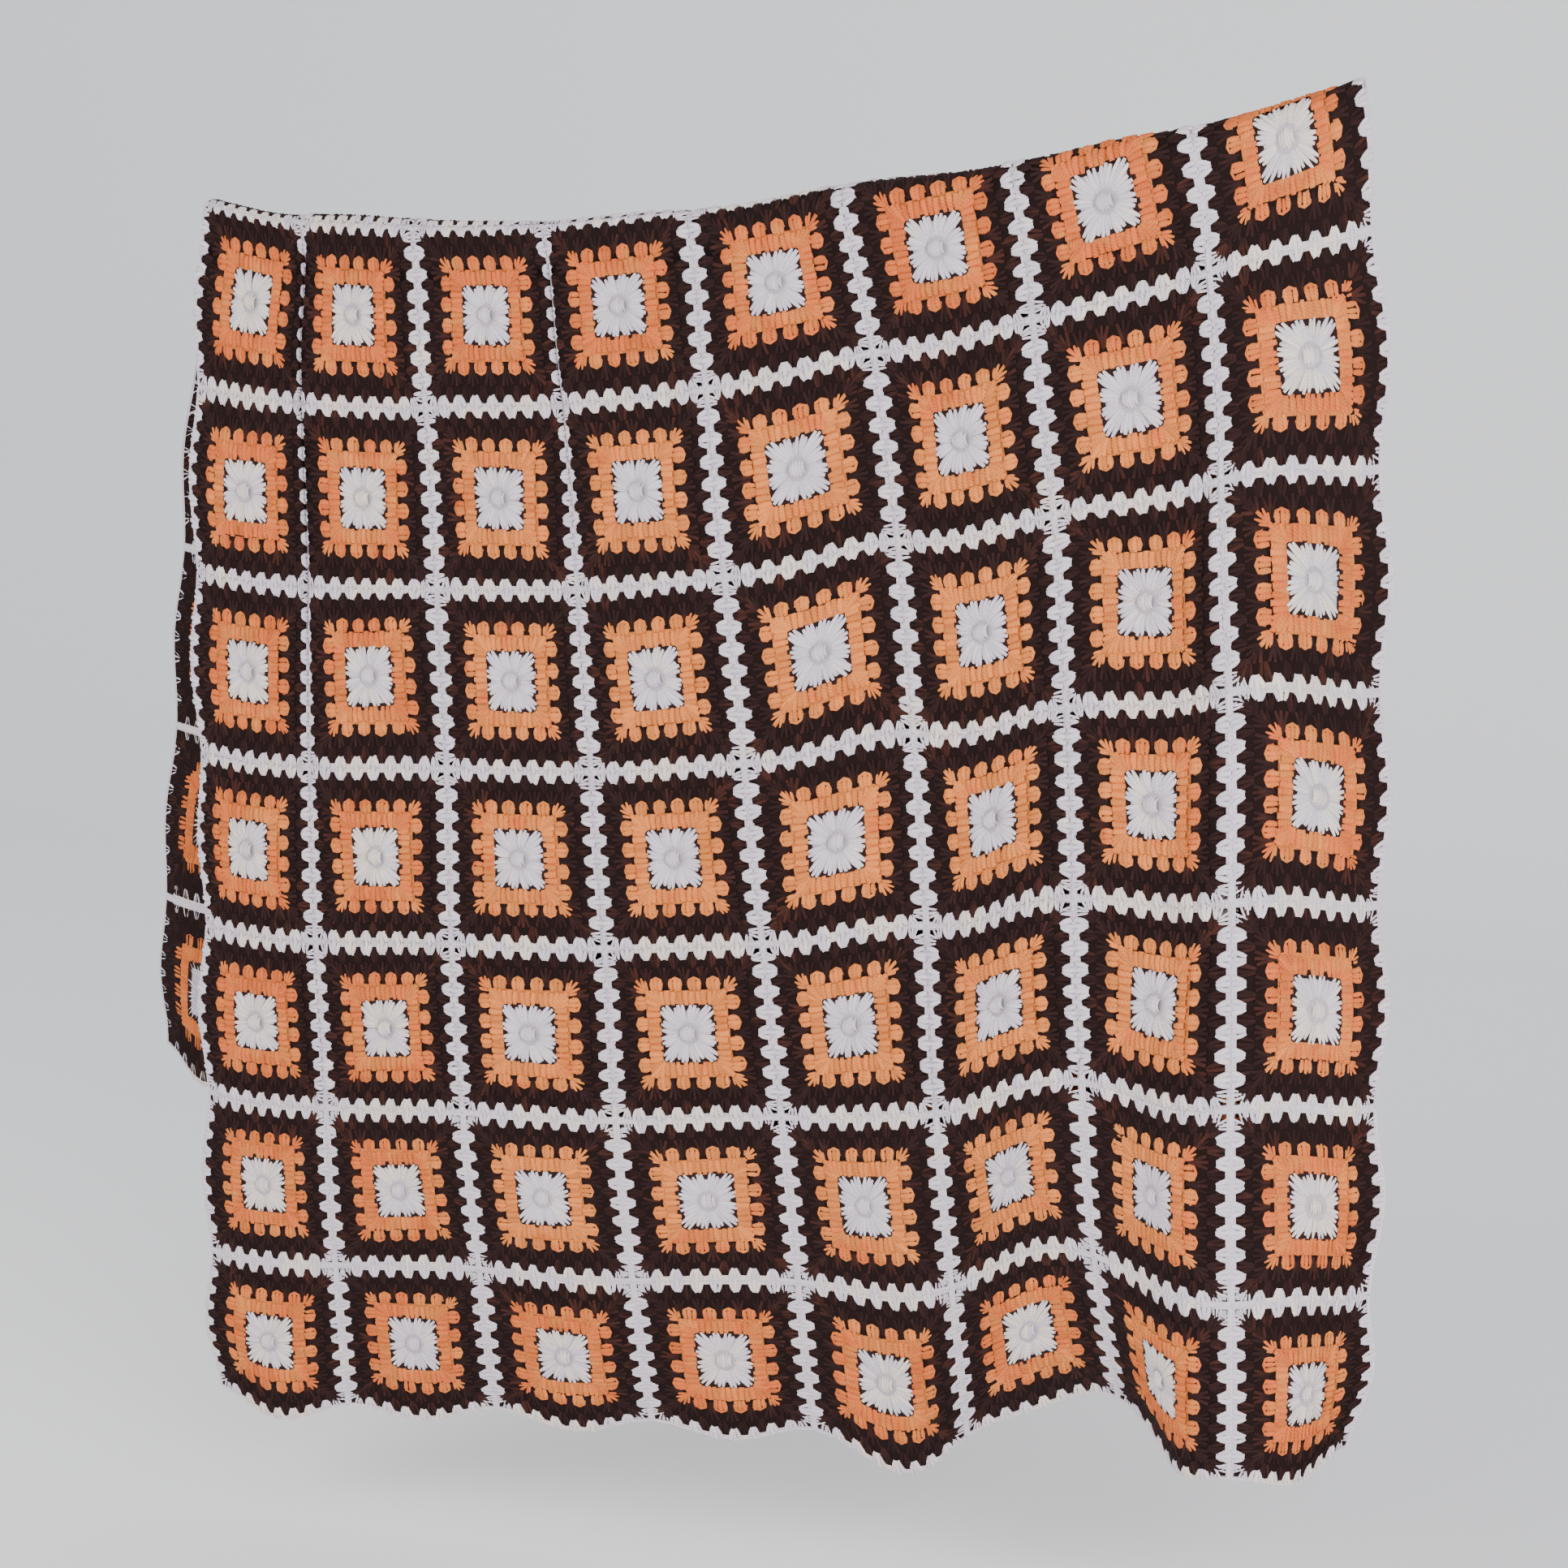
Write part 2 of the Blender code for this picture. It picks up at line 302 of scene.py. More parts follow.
# -------- the stage, in metres
FLOOR_DROP = 0.10             # the floor lies this far under the lowest hem
FLOOR_FRONT = -8.0
FLOOR_BACK = 3.6              # from here the floor bends up into the backdrop
FLOOR_BEND = 1.0
STAGE_TOP = 6.0
STAGE_HALF = 12.0
LIGHTS = (
    # name,        place,             size, power, colour
    ("key light",  (-1.6, -3.6, 1.5), 3.0,  108.0, (1.0, 0.97, 0.93)),
    ("fill light", (2.6, -2.4, -0.1), 2.2,  108.0, (0.98, 0.98, 1.0)),
)
LIT_PLACE = (0.0, 0.0, -0.6)  # both lights aim at this place
SKY = (0.92, 0.95, 1.0)
LENS = 70.5
CAMERA_PLACE = (1.56, -2.65, -0.16)
CAMERA_DOWN = 7.6             # how far the camera looks down, in degrees
CAMERA_TURN = 28.8            # and how far it is turned to the left


# ======== settings that a user would change
class BlanketSizes(bpy.types.PropertyGroup):
    """Sizes of the yarn and of the cloth under it."""

    ground: bpy.props.FloatProperty(
        name="Ground", description="Thickness of the cloth under the stitches", default=1.6 * MM,
        min=0.5 * MM, max=4 * MM, unit="LENGTH")
    plump: bpy.props.FloatProperty(
        name="Plumpness", description="Thickness of the stitches, as a share of that of the real yarn",
        default=1.0, min=0.6, max=1.4)
    twist: bpy.props.FloatProperty(
        name="Twist", description="Length of one turn of the yarn's plies", default=6.5 * MM, min=2 * MM,
        max=20 * MM, unit="LENGTH")


def colour_setting(name, description, default):
    """A colour that a user can change."""
    return bpy.props.FloatVectorProperty(
        name=name, description=description, subtype="COLOR", default=default, min=0.0, max=1.0)


class BlanketColours(bpy.types.PropertyGroup):
    """Colours of the three yarns and of the stage."""

    # The cream colour is painted warm light on the pale yarn.
    pale: colour_setting("Pale yarn", "Centres and edging, where the yarn is cool", (0.70, 0.62, 0.69))
    cream: colour_setting("Cream yarn", "Centres and edging, where the yarn is warm", (0.80, 0.69, 0.61))
    orange: colour_setting("Orange yarn", "The two orange rounds", (0.83, 0.255, 0.064))
    # The rust also serves as painted shade on the orange rows near the fold.
    rust: colour_setting("Rust yarn", "Redder stretches of the orange rounds", (0.74, 0.165, 0.045))
    dark: colour_setting("Dark yarn", "The two dark brown rounds", (0.029, 0.013, 0.012))
    dark_red: colour_setting("Dark red yarn", "Redder stretches of the dark rounds", (0.058, 0.020, 0.015))
    stage: colour_setting("Stage", "Floor and backdrop", (0.92, 0.92, 0.92))


# ======== how the cloth hangs
def smooth_step(value):
    """0 below 0, 1 above 1, and smooth between."""
    value = np.clip(value, 0.0, 1.0)
    return value * value * (3.0 - 2.0 * value)


def weights(share, levels):
    """Polynomial weights of the levels at a share of the drop. Every curve is 0 at the fold itself."""
    nodes = (0.0,) + levels
    columns = []
    for level in levels:
        weight = np.ones_like(share)
        for node in nodes:
            if node != level:
                weight = weight * (share - node) / (level - node)
        columns.append(weight)
    return columns


def bow_edges(across, along):
    """Bows the free edges out between the seams, and draws in the four corners."""
    def bow(place):
        return np.sin(math.pi * place) ** 2 - SCALLOP_LEVEL

    def outer(place, count):
        return np.clip(place - (count - 1), 0.0, 1.0) ** 2 - np.clip(1.0 - place, 0.0, 1.0) ** 2

    new_across = across + SIDE_SCALLOP * bow(along) * outer(across, ACROSS)
    new_along = along + HEM_SCALLOP * bow(across) * outer(along, ALONG)
    for corner_across, inward_across in ((0, 1), (ACROSS, -1)):
        for corner_along, inward_along in ((0, 1), (ALONG, -1)):
            distance = np.hypot(across - corner_across, along - corner_along)
            pull = CORNER_PULL * np.exp(-((distance / PULL_REACH) ** 2))
            new_across = new_across + inward_across * pull
            new_along = new_along + inward_along * pull
    return new_across, new_along


def hang(across, along):
    """Turns places on the flat blanket, in squares, into points in space."""
    across, along = bow_edges(across, along)
    sideways = (across - ACROSS / 2) * SQUARE
    upright = (FRONT_ROWS - along) * SQUARE
    beside = sideways * math.cos(TILT) + upright * math.sin(TILT)
    below = upright * math.cos(TILT) - sideways * math.sin(TILT)
    below = below + FOLD_SHIFT + FOLD_CURVE * (across / (ACROSS / 2) - 1.0) ** 2
    flap = FRONT_ROWS * SQUARE
    share = np.clip(np.abs(below) / flap, 0.0, LONGEST)
    is_rear = below < 0.0
    follows = smooth_step(share / SETTLE) * np.where(is_rear, REAR_FOLLOWS, 1.0)

    upper, lower, hem = weights(share, (1 / 3, 2 / 3, 1.0))
    depth = follows[:, None] * (upper[:, None] * UPPER + lower[:, None] * LOWER + hem[:, None] * HEM)
    middle, whole = weights(share, (0.5, 1.0))
    lift = follows[:, None] * (middle[:, None] * LIFT_MID + whole[:, None] * LIFT_HEM)

    # The cloth keeps its width, so a stretch that runs back or forward is narrower as seen from the front.
    column = beside / SQUARE + ACROSS / 2
    steps = np.linspace(0.0, 1.0, STEPS)
    places = ACROSS / 2 + (column[:, None] - ACROSS / 2) * steps
    offset = (places[..., None] - FOLD_AT) / FOLD_SPREAD
    swell = np.exp(-offset * offset)
    slope = (-2.0 * offset / FOLD_SPREAD * swell / SQUARE * depth[:, None, :]).sum(-1)
    chord = np.sqrt(np.maximum(1.0 - slope * slope, LEAST_CHORD**2))
    gathered = GATHER * (1.0 - share[:, None]) * np.exp(-((places / GATHER_REACH) ** 2))
    drawn = (DRAWN + DRAWN_LOW * share[:, None]) * np.exp(-(((ACROSS - places) / DRAWN_REACH) ** 2))
    chord = chord * (1.0 - gathered) * (1.0 - drawn)
    mean_chord = (chord[:, 1:] + chord[:, :-1]).mean(1) / 2
    x = beside * mean_chord
    x = x + np.where(is_rear, 0.0, DRIFT * share + DRIFT_EASE * share**2)

    turn = np.clip(below / BEND, -math.pi / 2, math.pi / 2)
    run = np.maximum(np.abs(below) - BEND * math.pi / 2, 0.0)
    y = (swell[:, -1] * depth).sum(-1) - BEND * np.sin(turn)
    y = y + np.where(is_rear, REAR_STAND * smooth_step(share / REAR_STAND_BY), 0.0)

    along_line = column / (ACROSS / 2) - 1.0
    line = LINE_RISE * along_line + LINE_SAG * along_line**2 - LINE_SKEW * (along_line**3 - along_line)
    stretch = STRETCH + np.where(is_rear, REAR_STRETCH, 0.0) + 0.5 * STRETCH_EASE * run / flap
    z = line - BEND * (1.0 - np.cos(turn)) - run * (1.0 + stretch) + (swell[:, -1] * lift).sum(-1)
    return np.stack((x, y, z), axis=1)


def small_relief(across, along):
    """How far the cloth stands out of its folds: puckers, and a low dome in each square."""
    relief = np.zeros_like(across)
    for waves_across, waves_along, start, size in PUCKERS:
        relief = relief + size * np.sin(2.0 * math.pi * (waves_across * across + waves_along * along) + start)
    bulge = np.abs(np.sin(math.pi * across) * np.sin(math.pi * along))
    return relief + DOME * bulge


def crease(across, along):
    """Draws the squares over each creased seam and returns how far the seam stands back."""
    new_across = across
    sunk = np.zeros_like(across)
    for seam, first, full, pull, sink in CREASES:
        beside = across - seam
        closed = smooth_step((along - first) / (full - first))
        closed = closed * smooth_step((CREASE_ENDS - along) / (CREASE_ENDS - CREASE_FADES))
        closed = closed * np.clip(1.0 - np.abs(beside), 0.0, 1.0)
        new_across = new_across - closed * pull * np.clip(beside / CREASE_REACH, -1.0, 1.0)
        sunk = sunk + closed * sink * np.clip(1.0 - np.abs(beside) / CREASE_REACH, 0.0, 1.0)
    return new_across, sunk


class Drape:
    """The hanging cloth on a fine grid: any flat place is read from it, with a height out of the cloth."""

    def __init__(self):
        across = np.linspace(0.0, ACROSS, ACROSS * DRAPE_CELLS + 1)
        along = np.linspace(0.0, ALONG, ALONG * DRAPE_CELLS + 1)
        flat_across, flat_along = np.meshgrid(across, along)
        points = hang(flat_across.ravel(), flat_along.ravel()).reshape(len(along), len(across), 3)
        relief = small_relief(flat_across, flat_along)[..., None]
        self.points = points + self.outward(points) * relief
        self.out = self.outward(self.points)

    @staticmethod
    def outward(points):
        """Unit vectors out of the cloth's outer face."""
        up, right = np.gradient(points, axis=(0, 1))
        out = np.cross(right, up)
        return out / np.linalg.norm(out, axis=-1, keepdims=True)

    def place(self, across, along, height):
        """Points in space for flat places of any shape."""
        across, sunk = crease(across, along)
        height = height - sunk
        column = across * DRAPE_CELLS
        row = along * DRAPE_CELLS
        left = np.clip(column, 0, ACROSS * DRAPE_CELLS - 1).astype(int)
        low = np.clip(row, 0, ALONG * DRAPE_CELLS - 1).astype(int)
        to_right = (column - left)[..., None]
        to_top = (row - low)[..., None]

        def between(grid):
            lower = grid[low, left] * (1.0 - to_right) + grid[low, left + 1] * to_right
            upper = grid[low + 1, left] * (1.0 - to_right) + grid[low + 1, left + 1] * to_right
            return lower * (1.0 - to_top) + upper * to_top

        return between(self.points) + between(self.out) * height[..., None]


drape = Drape()


def add_object(name, data):
    """Puts a mesh, a light or a camera into the scene."""
    made = bpy.data.objects.new(name, data)
    bpy.context.scene.collection.objects.link(made)
    return made


def smooth_mesh(name, shape):
    """Mesh data from a shape that is no longer edited."""
    data = bpy.data.meshes.new(name)
    shape.to_mesh(data)
    shape.free()
    data.shade_smooth()
    return data


# ======== stitches of one square, worked flat
def turned(lines):
    """The stitches of one side, repeated on the four sides of a square."""
    sides = [lines]
    for _ in range(3):
        last = sides[-1]
        sides.append(np.stack((last[..., 1], -last[..., 0], last[..., 2]), axis=-1))
    return np.concatenate(sides)


def posts_between(ends, heights):
    """Straight posts, each from its start to its end, with the heights along it."""
    ends = np.array(ends)
    share = np.linspace(0.0, 1.0, len(heights))[:, None]
    flat = ends[:, None, :2] * (1.0 - share) + ends[:, None, 2:] * share
    return np.dstack((flat, np.broadcast_to(heights, flat.shape[:2])))


def cluster_middles(name):
    """Where the clusters of one side stand along it."""
    make = CLUSTER_ROUNDS[name]
    return [(i - (make["count"] - 1) / 2) * make["pitch"] for i in range(make["count"])]


def cluster_round(name):
    """Middle lines of the posts of one round, apart from its corners: (posts, points, 3) in metres."""
    make = CLUSTER_ROUNDS[name]
    share = np.linspace(0.0, 1.0, len(make["heights"]))
    parting = make["base_half"] + (make["top_half"] - make["base_half"]) * share ** make["spread"]
    posts = []
    for at in cluster_middles(name):
        for side in (-1, 0, 1):
            top = make["top"] - ROUND_LAG * abs(side)
            run = make["base"] + (top - make["base"]) * share
            height = np.array(make["heights"]) + (MIDDLE_LIFT if side == 0 else 0.0)
            posts.append(np.column_stack((at + side * parting, run, height)))
    return turned(np.array(posts) * MM)


def corner_fans(name):
    """Middle lines of the posts in the corners of one round."""
    make = CLUSTER_ROUNDS[name]
    fan = posts_between(make["corner"], make["heights"])
    return turned(np.concatenate((fan, fan * (-1.0, 1.0, 1.0))) * MM)


def arcs_over_lobes():
    """The chain over each cluster of the outer orange round, which makes the lobes round."""
    arcs = [[(at + x, y, height) for x, y, height in LOBE_ARC] for at in cluster_middles("orange_outer")]
    return turned(np.array(arcs) * MM)


def edge_chains():
    """The chains along each side of a square, and the loop round the gap in each corner."""
    chains = [[(at * half, run, height) for at in np.linspace(-1.0, 1.0, CHAIN_POINTS)]
              for half, run, height in SIDE_CHAINS]
    return turned(np.array(chains) * MM), turned(np.array([GAP_LOOP]) * MM)


def centre_petals():
    """Twelve petals, each of three strands that part on their way out from the knob."""
    petals = []
    for end in np.array(PETAL_ENDS):
        outward = end / math.hypot(*end)
        beside = np.array((-outward[1], outward[0]))
        for side in (-1, 0, 1):
            start = PETAL_START * outward + PETAL_HALF[0] * side * beside
            tip = end + PETAL_HALF[1] * side * beside - PETAL_LAG * abs(side) * outward
            petals.append(np.concatenate((start, tip)))
    return turned(posts_between(petals, PETAL_HEIGHTS) * MM)


def between_petals():
    """A low strand between each two petals, which fills the space near the knob."""
    ends = np.array(BETWEEN_ENDS)
    starts = BETWEEN_START * ends / np.hypot(ends[:, :1], ends[:, 1:])
    return turned(posts_between(np.hstack((starts, ends)), BETWEEN_HEIGHTS) * MM)


def knob_strands():
    """The round knob in the middle: strands side by side over a low dome."""
    strands = []
    for at in KNOB_STRANDS:
        half = math.sqrt(KNOB_RADIUS**2 - at**2)
        run = np.linspace(-half, half, len(KNOB_WIDTHS))
        dome = np.sqrt(np.maximum(1.0 - (run**2 + at**2) / KNOB_RADIUS**2, 0.0))
        strands.append(np.column_stack((np.full_like(run, at), run, KNOB_FOOT + KNOB_HEIGHT * dome)))
    return np.array(strands) * MM


# ======== strands laid on the cloth
class Strands:
    """Collects strands of one piece, as arrays of points, faces and yarn places.

    Its squares are given as column, row, and whether both faces show.
    """

    def __init__(self, squares, plump):
        self.squares = squares
        self.plump = plump
        self.random = np.random.default_rng(SEED)
        self.points = []
        self.faces = []
        self.ply = []
        self.tone = []
        self.flat = []
        self.count = 0

    def lay(self, lines, thick, widths=1.0, rise=POST_RISE, wobble=WOBBLE):
        """Adds strands to each square, along lines from its middle: (strands, points, 3) in metres."""
        for both_faces in (False, True):
            chosen = self.squares[self.squares[:, 2] == both_faces]
            if not len(chosen):
                continue
            shape = (len(chosen), len(lines))
            moved = lines[None] + self.random.normal(0.0, wobble, shape + (1, 3)) * (1.0, 1.0, 0.5)
            moved = settle_square(moved, chosen)
            if both_faces:
                proud = np.maximum(moved[..., 2] - LEVEL_TO, 0.0)
                moved[..., 2] = LEVEL * (moved[..., 2] - proud) + proud
            slack = 1.0 + self.random.normal(0.0, SLACK, shape + (1,))
            radius = thick * MM * self.plump * np.broadcast_to(widths, lines.shape[1]) * slack
            tone = self.random.uniform(0.0, 1.0, shape)[..., None, None]
            self.wrap(moved, radius, radius * rise, chosen, tone, both_faces)

    def lay_round(self, name):
        """Adds one round of clusters to each square."""
        make = CLUSTER_ROUNDS[name]
        self.lay(cluster_round(name), make["thick"], make["widths"])
        self.lay(corner_fans(name), make["corner_thick"], make["widths"])

    def wrap(self, lines, side_radius, rise_radius, chosen, tone, closed):
        """Puts the rings of a tube round each line and joins them with faces."""
        angles = np.radians(FULL_ANGLES if closed else HALF_ANGLES)
        heading = np.gradient(lines[..., :2], axis=2)
        heading = heading / np.linalg.norm(heading, axis=-1, keepdims=True)
        beside = np.stack((-heading[..., 1], heading[..., 0]), axis=-1)
        steps = np.linalg.norm(np.diff(lines, axis=2), axis=-1)
        travelled = np.concatenate((np.zeros(steps.shape[:2] + (1,)), np.cumsum(steps, axis=2)), axis=2)

        out = side_radius[..., None] * np.cos(angles)
        flat = lines[..., None, :2] + out[..., None] * beside[..., None, :]
        height = lines[..., None, 2] + rise_radius[..., None] * np.sin(angles)
        across = chosen[:, 0, None, None, None] + 0.5 + flat[..., 0] / SQUARE
        along = chosen[:, 1, None, None, None] + 0.5 + flat[..., 1] / SQUARE
        points = drape.place(across, along, height)

        rings = points.shape[2]
        corners = len(angles)
        ring = np.arange(rings - 1)[:, None] * corners
        corner = np.arange(corners if closed else corners - 1)
        following = (corner + 1) % corners
        quads = np.stack(
            (ring + corner, ring + following, ring + following + corners, ring + corner + corners), axis=-1)
        starts = np.arange(points.shape[0] * points.shape[1]) * rings * corners
        faces = starts[:, None, None, None] + quads + self.count

        whole = across.shape
        ply = np.stack([np.broadcast_to(part, whole)
                        for part in (np.cos(angles), np.sin(angles), travelled[..., None])], axis=-1)
        self.points.append(points.reshape(-1, 3))
        self.faces.append(faces.reshape(-1, 4))
        self.ply.append(ply.reshape(-1, 3))
        self.tone.append(np.broadcast_to(tone, whole).ravel())
        self.flat.append(np.stack((across, along), axis=-1).reshape(-1, 2))
        self.count += points.size // 3

    def make(self, name, material):
        """Makes the mesh object."""
        points = np.concatenate(self.points)
        faces = np.concatenate(self.faces)
        data = bpy.data.meshes.new(name)
        data.vertices.add(len(points))
        data.vertices.foreach_set("co", points.astype(np.float32).ravel())
        data.loops.add(faces.size)
        data.loops.foreach_set("vertex_index", faces.astype(np.int32).ravel())
        data.polygons.add(len(faces))
        data.polygons.foreach_set("loop_start", np.arange(0, faces.size, 4, dtype=np.int32))
        data.update(calc_edges=True)
        data.shade_smooth()
        ply = data.attributes.new("ply", "FLOAT_VECTOR", "POINT")
        ply.data.foreach_set("vector", np.concatenate(self.ply).astype(np.float32).ravel())
        tone = data.attributes.new("tone", "FLOAT", "POINT")
        tone.data.foreach_set("value", np.concatenate(self.tone).astype(np.float32))
        add_flat_map(data, np.concatenate(self.flat))
        data.materials.append(material)
        return add_object(name, data)


def add_flat_map(data, flat):
    """Lays the mesh out as the flat blanket, so that each place of it can have its own pattern."""
    corners = np.empty(len(data.loops), np.int32)
    data.loops.foreach_get("vertex_index", corners)
    places = flat[corners] / (ACROSS, ALONG)
    layer = data.uv_layers.new(name="OFBake")
    layer.data.foreach_set("uv", places.astype(np.float32).ravel())
    places = data.attributes.new("flat", "FLOAT2", "POINT")
    places.data.foreach_set("vector", flat.astype(np.float32).ravel())


def settle_square(lines, squares):
    """Turns and shifts the middle of each square a little. Its seams stay where they are."""
    column, row = squares[:, :2].astype(int).T
    random = np.random.default_rng(SEED + 1)
    lean = random.normal(0.0, LEAN, (ALONG, ACROSS))[row, column, None, None]
    shift = random.normal(0.0, SHIFT, (ALONG, ACROSS, 2))[row, column, None, None]
    reach = np.maximum(np.abs(lines[..., 0]), np.abs(lines[..., 1])) / (SQUARE / 2)
    free = np.clip(1.0 - reach**2, 0.0, 1.0)
    moved = lines.copy()
    moved[..., 0] = lines[..., 0] - lean * free * lines[..., 1] + free * shift[..., 0]
    moved[..., 1] = lines[..., 1] + lean * free * lines[..., 0] + free * shift[..., 1]
    hanging = np.clip((np.minimum(row, ALONG - 1 - row) - PULLED_FROM) / PULLED_OVER, 0.0, 1.0)
    pulled = np.exp(-(((np.abs(lines[..., 1]) / (SQUARE / 2) - PULLED_AT) / PULLED_REACH) ** 2))
    moved[..., 1] += SEAM_PULL * hanging[:, None, None] * pulled * np.sign(lines[..., 1])
    return moved


# ======== materials
class Value:
    """A socket of numbers. Python's operators on it add Math nodes."""

    def __init__(self, made, socket):
        self.made = made
        self.socket = socket

    def math(self, operation, *others):
        return self.made.node("ShaderNodeMath", {"operation": operation}, dict(enumerate((self,) + others)))

    def at_least(self, other):
        return self.math("MAXIMUM", other)

    def __add__(self, other):
        return self.math("ADD", other)

    def __mul__(self, other):
        return self.math("MULTIPLY", other)

    def __sub__(self, other):
        return self.math("SUBTRACT", other)

    def __rsub__(self, other):
        return self.made.node("ShaderNodeMath", {"operation": "SUBTRACT"}, {0: other, 1: self})

    __radd__ = __add__
    __rmul__ = __mul__


class Finish:
    """A material that is built from nodes."""

    def __init__(self, name):
        self.material = bpy.data.materials.new(name)
        self.material.use_nodes = True
        self.tree = self.material.node_tree
        self.tree.nodes.clear()

    def node(self, kind, settings=None, sockets=None, out=0):
        """Adds a node: its settings first, then its sockets' values or links. Returns one of its outputs."""
        made = self.tree.nodes.new(kind)
        for name, value in (settings or {}).items():
            setattr(made, name, value)
        for name, value in (sockets or {}).items():
            if isinstance(value, Value):
                self.tree.links.new(value.socket, made.inputs[name])
            else:
                made.inputs[name].default_value = value
        return Value(self, made.outputs[out]) if made.outputs else None

    def mix(self, factor, first, second, blend="MIX"):
        """Mixes two colours."""
        settings = {"data_type": "RGBA", "blend_type": blend}
        return self.node("ShaderNodeMix", settings, {0: factor, 6: first, 7: second}, 2)

    def attribute(self, name, out):
        """Reads what the mesh stores under a name."""
        return self.node("ShaderNodeAttribute", {"attribute_name": name}, None, out)

    def parts(self, vector):
        """The parts of a vector, as three values."""
        split = self.node("ShaderNodeSeparateXYZ", None, {0: vector}).socket.node
        return [Value(self, socket) for socket in split.outputs]

    def flat_place(self):
        """Where a point lies on the flat blanket, and how far from the middle of its square, in squares."""
        across, along, _ = self.parts(self.attribute("flat", "Vector"))
        reach = [(part.math("FRACT") - 0.5).math("ABSOLUTE") for part in (across, along)]
        return across, along, *reach

    def noise(self, scale, detail, roughness):
        """Noise in space, between 0 and 1."""
        place = self.node("ShaderNodeTexCoord", None, None, "Object")
        sockets = {"Vector": place, "Scale": scale, "Detail": detail, "Roughness": roughness}
        return self.node("ShaderNodeTexNoise", None, sockets, "Fac")

    def smooth(self, value, low, high):
        """0 at low, 1 at high, and smooth between."""
        settings = {"interpolation_type": "SMOOTHSTEP"}
        return self.node("ShaderNodeMapRange", settings, {"Value": value, "From Min": low, "From Max": high})

    def relief(self, height, strength, distance):
        """The normal of a surface with a fine relief."""
        sockets = {"Strength": strength, "Distance": distance, "Height": height}
        return self.node("ShaderNodeBump", None, sockets, "Normal")

    def surface(self, sockets):
        """Closes the material with its shader and returns it."""
        shader = self.node("ShaderNodeBsdfPrincipled", None, sockets)
        self.node("ShaderNodeOutputMaterial", None, {"Surface": shader})
        return self.material


def opaque(colour, share=1.0):
    """A colour with its alpha, lightened or darkened."""
    return tuple(part * share for part in colour) + (1.0,)


def warm_places(finish):
    """1 on the outer columns and at the front hem, and 0 in the middle. There the orange yarn is redder, and
    the pale centres take painted warm light as cream.
    """
    across, along = finish.flat_place()[:2]
    sides = finish.smooth((across - WARM_MIDDLE).math("ABSOLUTE"), *WARM_SIDES)
    return sides.at_least(1.0 - finish.smooth(along, *WARM_HEM))


def rust_and_fold_shade_places(finish):
    """1 or more where the orange is redder: as redder yarn in the warm places, and as painted shade, darker
    and redder, in the rows near the fold.
    """
    along = finish.flat_place()[1]
    return warm_places(finish).at_least(finish.smooth(along, *FOLD_SHADE_ROWS) * FOLD_SHADE_PUSH)


def cream_light_places(finish):
    """1 where painted warm light turns the pale yarn cream: along the seams between rows, and on centres in
    warm places.
    """
    beside, above = finish.flat_place()[2:]
    seam = finish.smooth(above - beside, 0.0, CREAM_SIDE) * finish.smooth(above, *CREAM_SEAM)
    centre = (1.0 - finish.smooth(beside.at_least(above), *CREAM_CENTRE)) * warm_places(finish)
    return seam.at_least(centre)


def yarn(name, main, other, share, ply_shade, soft, places=None, push=0.0):
    """Soft matt yarn, plied, a little fuzzy and not evenly coloured: partly unevenly dyed, partly painted
    light and shade.

    A share of it turns to the other colour in patches, and some places are pushed further. One argument gives
    how light the painted shade between its plies is, and "soft" the strength of its sheen.
    """
    finish = Finish(name)
    tone = finish.attribute("tone", "Fac")
    across, out, travelled = finish.parts(finish.attribute("ply", "Vector"))

    # Two plies wind round each other, so their ridges run as a helix.
    turn = travelled * (2.0 * math.pi / bpy.context.scene.blanket_sizes.twist) + out.math("ARCTAN2", across)
    ridge = (turn * 2.0).math("SINE")
    fuzz = finish.noise(*FUZZ)
    relief = ridge * 0.35 + fuzz * 0.7 + finish.noise(*LUMPS) * 0.6

    uneven = finish.noise(*PATCHES) * 0.75 + finish.noise(*STREAKS) * 0.25 + tone * 0.12
    if places:
        uneven = uneven + places(finish) * push
    # Patches of the other colour: red flecks in the dark yarn, redder yarn and painted shade near the fold in
    # the orange, and painted warm light in cream on the pale yarn.
    dye_and_light = finish.smooth(uneven, DYE_AND_LIGHT[0] - share, DYE_AND_LIGHT[1] - share)
    colour = finish.mix(dye_and_light, opaque(main), opaque(other))
    # Painted shade between the plies: the colour is darkened where the ply ridge turns in, and at random
    # where the fuzz and the strand's tone are low.
    shade = finish.smooth(ridge * 0.14 + fuzz * 0.5 + tone * 0.5, 0.05, 0.95)
    colour = finish.mix(shade, finish.mix(1.0, colour, opaque((ply_shade, ply_shade, ply_shade)), "MULTIPLY"), colour)
    return finish.surface({
        "Base Color": colour, "Roughness": 0.82 + fuzz * 0.14,
        "Normal": finish.relief(relief, 0.65, 1.1 * MM), "Specular IOR Level": 0.6 * soft,
        "Sheen Weight": soft, "Sheen Roughness": 0.55, "Sheen Tint": opaque(main)})


